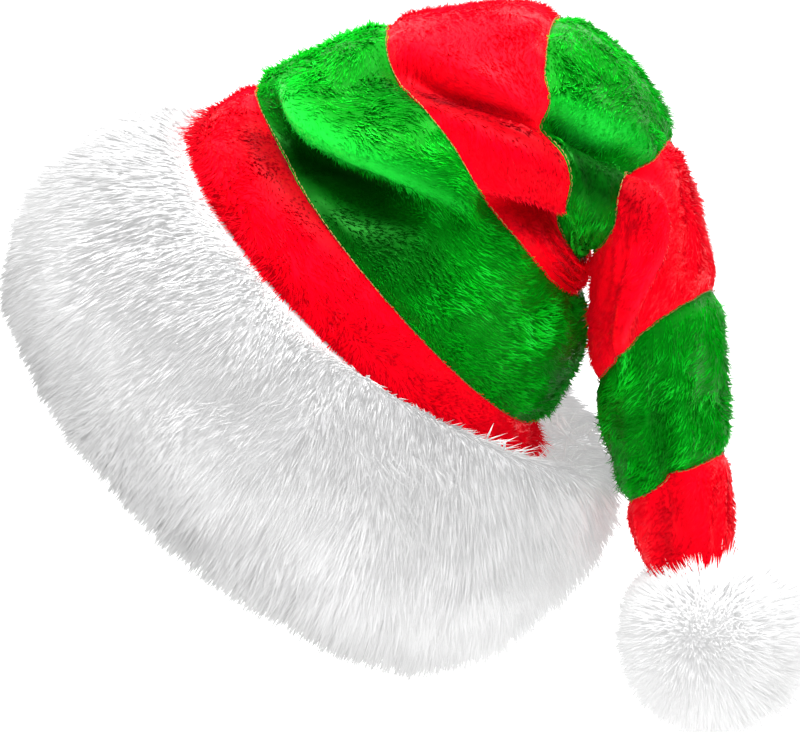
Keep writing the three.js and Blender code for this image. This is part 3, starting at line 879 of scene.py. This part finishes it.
def stitch_mesh():
    """One stitch of unit length along +X: a thread that dips in at both ends."""
    sides, turns = 4, np.linspace(0, 2 * np.pi, 4, endpoint=False)
    rings = [(-0.5, -0.9, 0.35), (-0.25, -0.1, 0.5), (0.25, -0.1, 0.5), (0.5, -0.9, 0.35)]
    points = [(x, wide * math.cos(t), high + wide * math.sin(t)) for x, high, wide in rings for t in turns]
    faces, _, _ = ring_faces(len(rings), sides, False)
    faces = [tuple(face) for face in faces] + [tuple(range(sides)), tuple(range(4 * sides - 1, 3 * sides - 1, -1))]
    return mesh_of("stitch", points, [face[::-1] for face in faces])


def stitch_tree():
    """The tree that lays stitches of a named pitch and thread along a seam."""
    tree = bpy.data.node_groups.new("ElfHatStitches", "GeometryNodeTree")
    kinds = (("Geometry", "NodeSocketGeometry"), ("Stitch", "NodeSocketObject"), ("Material", "NodeSocketMaterial"),
             ("Pitch", "NodeSocketFloat"), ("Thread", "NodeSocketFloat"))
    for name, kind in kinds:
        tree.interface.new_socket(name, in_out="INPUT", socket_type=kind)
    tree.interface.new_socket("Geometry", in_out="OUTPUT", socket_type="NodeSocketGeometry")
    nodes = Nodes(tree)
    given = nodes.add("NodeGroupInput").outputs
    curve = nodes.add("GeometryNodeMeshToCurve", {"Mesh": given["Geometry"]}).outputs[0]
    spots = nodes.add("GeometryNodeCurveToPoints", {"Curve": curve, "Length": given["Pitch"]}, mode="LENGTH").outputs
    out = nodes.add("GeometryNodeInputNamedAttribute", {"Name": "out"}, data_type="FLOAT_VECTOR").outputs[0]
    ahead = nodes.add("FunctionNodeAlignRotationToVector", {"Vector": spots["Tangent"]}, axis="X").outputs[0]
    turned = nodes.add(
        "FunctionNodeAlignRotationToVector", {"Rotation": ahead, "Vector": out}, axis="Z", pivot_axis="X"
    ).outputs[0]
    long = nodes.number("MULTIPLY", given["Pitch"], 0.8)
    size = nodes.add("ShaderNodeCombineXYZ", {0: long, 1: given["Thread"], 2: given["Thread"]}).outputs[0]
    stitch = nodes.add("GeometryNodeObjectInfo", {"Object": given["Stitch"]}).outputs["Geometry"]
    sewn = nodes.add(
        "GeometryNodeInstanceOnPoints",
        {"Points": spots["Points"], "Instance": stitch, "Rotation": turned, "Scale": size},
    ).outputs[0]
    real = nodes.add("GeometryNodeRealizeInstances", {"Geometry": sewn}).outputs[0]
    dyed = nodes.add("GeometryNodeSetMaterial", {"Geometry": real, "Material": given["Material"]}).outputs[0]
    nodes.add("NodeGroupOutput", {0: dyed})
    return tree


class ELFHAT_OT_stitches(bpy.types.Operator):
    """Sew the stripes together along their seams"""

    bl_idname = "elfhat.stitches"
    bl_label = "Seam Stitches"

    def execute(self, context):
        """Lays a row of small stitches down each seam between two stripes."""
        settings = context.scene.elf_hat
        crown, count = Crown(settings.sizes), 240
        turn = np.linspace(0, 360, count, endpoint=False)
        lines, outs = [], []
        for seam in range(1, len(STRIPES)):
            at = np.full(count, float(seam))
            normal = crown.out_of(crown.skin, at, turn)
            lines.append(crown.skin(at, turn) + normal * 0.0001)
            outs.append(normal)
        mesh = bpy.data.meshes.new("seam_lines")
        edges = [(s * count + i, s * count + (i + 1) % count) for s in range(len(lines)) for i in range(count)]
        mesh.from_pydata(np.concatenate(lines).tolist(), edges, [])
        store(mesh, "out", np.concatenate(outs))
        tree = stitch_tree()
        seams, model = put("seam_lines", mesh), put("stitch_model", stitch_mesh())
        sewing = seams.modifiers.new("Stitches", "NODES")
        sewing.node_group = tree
        values = {"Stitch": model, "Material": thread_material("thread", settings.colours.thread),
                  "Pitch": 0.0028, "Thread": 0.0004}
        for item in tree.interface.items_tree:
            if item.in_out == "INPUT" and item.name in values:
                sewing[item.identifier] = values[item.name]
        stitches = put("seam_stitches", finished(seams))
        for used in (seams, model):
            bpy.data.objects.remove(used)
        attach(stitches, "root")
        return {"FINISHED"}


def ring_sum(waves, angle, along):
    """Soft lumps round a ring: waves of (count round, count along, phase, height)."""
    return sum(high * np.sin(n * angle + k * along + phase) for n, k, phase, high in waves)


class Brim:
    """The padded ring. A place on it is angle, round the head with 0 behind, and level, in rows of
    the table from the lower lip to the ledge."""

    def __init__(self, sizes):
        self.sizes = sizes
        self.rows = columns(BRIM_COLUMNS, BRIM_ROWS)
        self.levels = np.arange(len(BRIM_ROWS), dtype=float)

    def column(self, name, level):
        """One column of the rows at a level."""
        return between(self.levels, self.rows[name], level)

    def way(self, angle, comb):
        """A direction at an angle round the head that leans up from straight out."""
        round_head = HEAD_BACK * np.cos(angle)[..., None]
        round_head[..., 1] = np.sin(angle)
        return round_head * np.cos(comb)[..., None] + HEAD_AXIS * np.sin(comb)[..., None]

    def place(self, angle, out, height):
        """A point out from the opening's edge and up from the lower edge."""
        reach = (self.sizes.head_opening / 2 + out)[..., None]
        return self.way(angle, 0 * angle) * reach + HEAD_AXIS * height[..., None]

    def pad(self, angle, level):
        """A point of the padding's fur cloth."""
        edge = np.clip(np.minimum(level, self.levels[-1] - level), 0, 1)
        behind = np.cos(angle) * edge
        lumps = ring_sum(((5, 1.3, 0.4, 0.5), (9, -2.1, 1.9, 0.4), (16, 2.7, 0.9, 0.35), (27, -3.3, 2.2, 0.2)), angle, level)
        out = self.column("padding", level) * self.sizes.brim_padding * (
            0.85 + 0.055 * level
            + 0.17 * np.maximum(behind, 0)
            + np.minimum(behind, 0) * (
                0.2 - 0.1 * np.exp(-(((level - 3.5) / 1.2) ** 2)) + 0.1 * np.clip(level - 4, 0, 1)
                + 0.35 * np.clip(level - 5, 0, 1)
            )
        )
        out = out + edge * (self.sizes.brim_cover + 0.0022 * lumps)
        rise = (0.12 + 0.035 * np.maximum(level - 3, 0)) * np.maximum(behind, 0) + 0.03 * np.maximum(-behind, 0)
        height = (self.column("height", level) + rise) * (self.sizes.brim_height - 0.0002)
        return self.place(angle, out, height)


class ELFHAT_OT_brim(bpy.types.Operator):
    """Make the padded brim and its long fur"""

    bl_idname = "elfhat.brim"
    bl_label = "Fur Brim"

    def execute(self, context):
        """Makes the pad, and its fur in three bands, lower, middle and upper."""
        settings = context.scene.elf_hat
        brim, colours, count = Brim(settings.sizes), settings.colours, 168
        round_head = np.linspace(0, 2 * np.pi, count, endpoint=False)
        level, angle = np.meshgrid(np.linspace(0, brim.levels[-1], 48), round_head, indexing="ij")
        outer = brim.pad(angle, level)
        heights = np.linspace(settings.sizes.brim_height - 0.0002, BRIM_ROWS[0][0] * settings.sizes.brim_height, 14)
        height, around = np.meshgrid(heights, round_head, indexing="ij")
        inner = brim.place(around, 0 * height, height)
        rings = np.concatenate([outer, inner])
        faces, ring, step = ring_faces(len(rings), count, True)
        pad_mesh = mesh_of("brim_pad", rings.reshape(-1, 3), faces)
        add_uv(pad_mesh, ring, step, count, np.pi * settings.sizes.head_opening, 0.0045)
        # Painted shade on the pad: full at its lower lip, gone by level two, and full on the lining's rings
        store(pad_mesh, "painted_shade", np.concatenate([np.clip(1 - level / 2, 0, 1), np.ones(height.shape)]).ravel())
        fur = fur_material("white fur", colours.white, colours.white_deep, 0.25)
        pad_mesh.materials.append(fur)
        pad_mesh.materials.append(backing_material("white backing", colours.white))
        pad_mesh.polygons.foreach_set("material_index", (ring >= len(outer)).astype(np.int32))
        pad = put("brim_pad", pad_mesh)
        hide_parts("brim")
        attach(pad, "root")
        lock = strand_mesh(0.45, 3.0)
        for name, low, high in BRIM_BANDS:
            level, angle = np.meshgrid(np.linspace(low, high, 26), round_head, indexing="ij")
            points = brim.pad(angle, level)
            comb = brim.way(angle, np.radians(brim.column("comb", level))) + np.array([0, 0, -0.22])
            roots = mesh_of(name, points.reshape(-1, 3), ring_faces(len(points), count, False)[0])
            store(roots, "comb", comb.reshape(-1, 3))
            store(roots, "grow", (brim.column("length", level) * (0.66 + 0.48 * np.maximum(np.cos(angle), 0))).ravel())
            # Painted shade on the fur: full at the lower lip, gone by level three, and up to 0.22 over the upper rows
            # from level 3.5
            store(roots, "painted_shade", (np.clip(1 - level / 3, 0, 1) + 0.22 * np.clip(level - 3.5, 0, 1)).ravel())
            store(roots, "cover", np.ones(level.size))
            grow(name, roots, settings.brim_fur, lock.copy(), fur)
        return {"FINISHED"}


class ELFHAT_OT_pompom(bpy.types.Operator):
    """Make the pompom that is sewn to the tip"""

    bl_idname = "elfhat.pompom"
    bl_label = "Pompom"

    def execute(self, context):
        """Makes the ball and its fur."""
        settings = context.scene.elf_hat
        sizes, colours = settings.sizes, settings.colours
        crown = Crown(sizes)
        radius = sizes.pompom_ball / 2
        seat = math.sqrt(radius**2 - (sizes.pompom_seat / 2) ** 2)
        down = plane(SECTIONS[-1][4])
        centre = crown.centres[-1] + down * (seat + sizes.seam_gap / 2)
        shape = bmesh.new()
        bmesh.ops.create_icosphere(shape, subdivisions=5, radius=1)
        for vertex in shape.verts:
            x, y, z = vertex.co
            lumps = math.sin(7 * x + 2) * math.sin(6 * y + 1) + 0.6 * math.sin(11 * z + 5 * x)
            vertex.co = vertex.co * (radius - 0.001 + 0.0007 * lumps)
            vertex.co.z = min(vertex.co.z, seat)
        turn = Vector((0, 0, -1)).rotation_difference(Vector(down)).to_matrix().to_4x4()
        bmesh.ops.transform(shape, matrix=Matrix.Translation(Vector(centre)) @ turn, verts=shape.verts)
        mesh = bpy.data.meshes.new("pompom_ball")
        shape.to_mesh(mesh)
        shape.free()
        mesh.polygons.foreach_set("use_smooth", [True] * len(mesh.polygons))
        # The pompom's fur is a copy of the brim's white made 1.06 times brighter: a painted lift of its light
        fur = fur_material("pompom fur", np.array(colours.white) * 1.06, np.array(colours.white_deep) * 1.06, 0.1)
        mesh.materials.append(fur)
        ball = put("pompom_ball", mesh)
        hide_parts("pompom")
        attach(ball, "root")
        places = np.array([vertex.co for vertex in mesh.vertices])
        away = unit(places - centre)
        topmost = away @ -down
        roots = mesh.copy()
        roots.materials.clear()
        store(roots, "comb", away + np.array([0.12, 0, -0.06]))
        heavy = 1 + away @ np.array([0.28, 0, -0.06])
        store(roots, "grow", np.clip(1.3 - 0.45 * np.exp((topmost - 1) * 6), 0.3, 1.05) * heavy)
        store(roots, "cover", (topmost < seat / radius * 0.97).astype(float))
        grow("pompom_fur", roots, settings.pompom_fur, strand_mesh(0.5, 2.0), fur)
        return {"FINISHED"}


def lamp(name, place, size, power):
    """A soft lamp that looks at the hat."""
    light = bpy.data.lights.new(name, "AREA")
    light.shape, light.size, light.energy = "DISK", size, power
    made = bpy.data.objects.new(name, light)
    bpy.context.scene.collection.objects.link(made)
    made.location = place
    made.rotation_euler = (TARGET - Vector(place)).to_track_quat("-Z", "Y").to_euler()


class ELFHAT_OT_stage(bpy.types.Operator):
    """Make the floor, the lights and the camera"""

    bl_idname = "elfhat.stage"
    bl_label = "Studio Stage"

    def execute(self, context):
        """Makes a pale floor that sweeps up behind, soft lamps and the camera."""
        scene = context.scene
        studio = scene.elf_hat.studio
        start, radius = 1.6, 0.9
        bend = [
            (start + radius * math.sin(a), studio.floor + radius * (1 - math.cos(a)))
            for a in np.linspace(0, np.pi / 2, 17)
        ]
        line = [(-6.0, studio.floor), *bend, (2.5, 5.0)]
        points = [(x, y, z) for y, z in line for x in (-6.0, 6.0)]
        faces = [(2 * i, 2 * i + 1, 2 * i + 3, 2 * i + 2) for i in range(len(line) - 1)]
        sweep = put("studio_floor", mesh_of("studio_floor", points, faces))
        made, nodes, shader = material("studio paper")
        shader.inputs["Base Color"].default_value = rgba(scene.elf_hat.colours.studio)
        shader.inputs["Roughness"].default_value = 0.9
        shader.inputs["Emission Color"].default_value = (1, 1, 1, 1)
        place = nodes.add("ShaderNodeTexCoord").outputs["Object"]
        behind = nodes.add("ShaderNodeSeparateXYZ", {0: place}).outputs[1]
        lit = nodes.number("MULTIPLY", nodes.number("SUBTRACT", behind, 0.4), 2.0, True)
        nodes.tree.links.new(nodes.number("MULTIPLY", lit, 0.75), shader.inputs["Emission Strength"])
        sweep.data.materials.append(made)
        lamp("key_lamp", (0.1, -0.7, 1.9), 0.8, studio.key)
        lamp("fill_lamp", (1.1, -1.6, 0.9), 1.4, studio.fill)
        world = bpy.data.worlds.new("studio")
        world.use_nodes = True
        world.node_tree.nodes["Background"].inputs["Color"].default_value = (1, 1, 1, 1)
        world.node_tree.nodes["Background"].inputs["Strength"].default_value = studio.sky
        scene.world = world
        scene.view_settings.view_transform = "Standard"
        camera = bpy.data.cameras.new("camera")
        camera.lens, camera.sensor_width = studio.lens, 36
        made = bpy.data.objects.new("camera", camera)
        scene.collection.objects.link(made)
        a, e = studio.azimuth, studio.elevation
        back = Vector((math.sin(a) * math.cos(e), -math.cos(a) * math.cos(e), math.sin(e)))
        made.location = TARGET + back * studio.distance
        made.rotation_euler = (-back).to_track_quat("-Z", "Y").to_euler()
        scene.camera = made
        return {"FINISHED"}


class ElfHatSettings(bpy.types.PropertyGroup):
    """All that a user may change"""

    sizes: PointerProperty(name="Sizes", description="Sizes of the hat", type=ElfHatSizes)
    plush: PointerProperty(name="Plush", description="Short pile", type=ElfHatPlush)
    brim_fur: PointerProperty(name="Brim Fur", description="Long fur", type=ElfHatBrimFur)
    pompom_fur: PointerProperty(name="Pompom Fur", description="Pompom's fur", type=ElfHatPompomFur)
    colours: PointerProperty(name="Colours", description="Colours", type=ElfHatColours)
    studio: PointerProperty(name="Studio", description="Camera and lights", type=ElfHatStudio)


OPERATORS = (ELFHAT_OT_stage, ELFHAT_OT_brim, ELFHAT_OT_stripes, ELFHAT_OT_stitches, ELFHAT_OT_pompom)


class ELFHAT_PT_panel(bpy.types.Panel):
    """Lists what makes the hat, and its settings"""

    bl_idname = "ELFHAT_PT_panel"
    bl_label = "Elf Hat"
    bl_space_type = "VIEW_3D"
    bl_region_type = "UI"
    bl_category = "Elf Hat"

    def draw(self, context):
        """Draws a button for each operator and a box for each group of settings."""
        for operator in OPERATORS:
            self.layout.operator(operator.bl_idname)
        settings = context.scene.elf_hat
        for name in ("sizes", "plush", "brim_fur", "pompom_fur", "colours", "studio"):
            box = self.layout.box()
            group = getattr(settings, name)
            for field in group.bl_rna.properties:
                if field.identifier not in {"rna_type", "name"}:
                    box.prop(group, field.identifier)


CLASSES = (
    ElfHatSizes, ElfHatPlush, ElfHatBrimFur, ElfHatPompomFur, ElfHatColours, ElfHatStudio,
    ElfHatSettings, *OPERATORS, ELFHAT_PT_panel,
)


def register():
    """Adds the classes and the scene's settings."""
    for made in CLASSES:
        bpy.utils.register_class(made)
    bpy.types.Scene.elf_hat = PointerProperty(type=ElfHatSettings)


def unregister():
    """Takes them out again."""
    del bpy.types.Scene.elf_hat
    for made in reversed(CLASSES):
        bpy.utils.unregister_class(made)


def main():
    """Makes the hat and its studio, and writes how big the packed and the dressed hat are."""
    register()
    bpy.ops.elfhat.stage()
    bpy.ops.elfhat.brim()
    bpy.ops.elfhat.stripes()
    bpy.ops.elfhat.stitches()
    bpy.ops.elfhat.pompom()


if __name__ == "__main__":
    main()
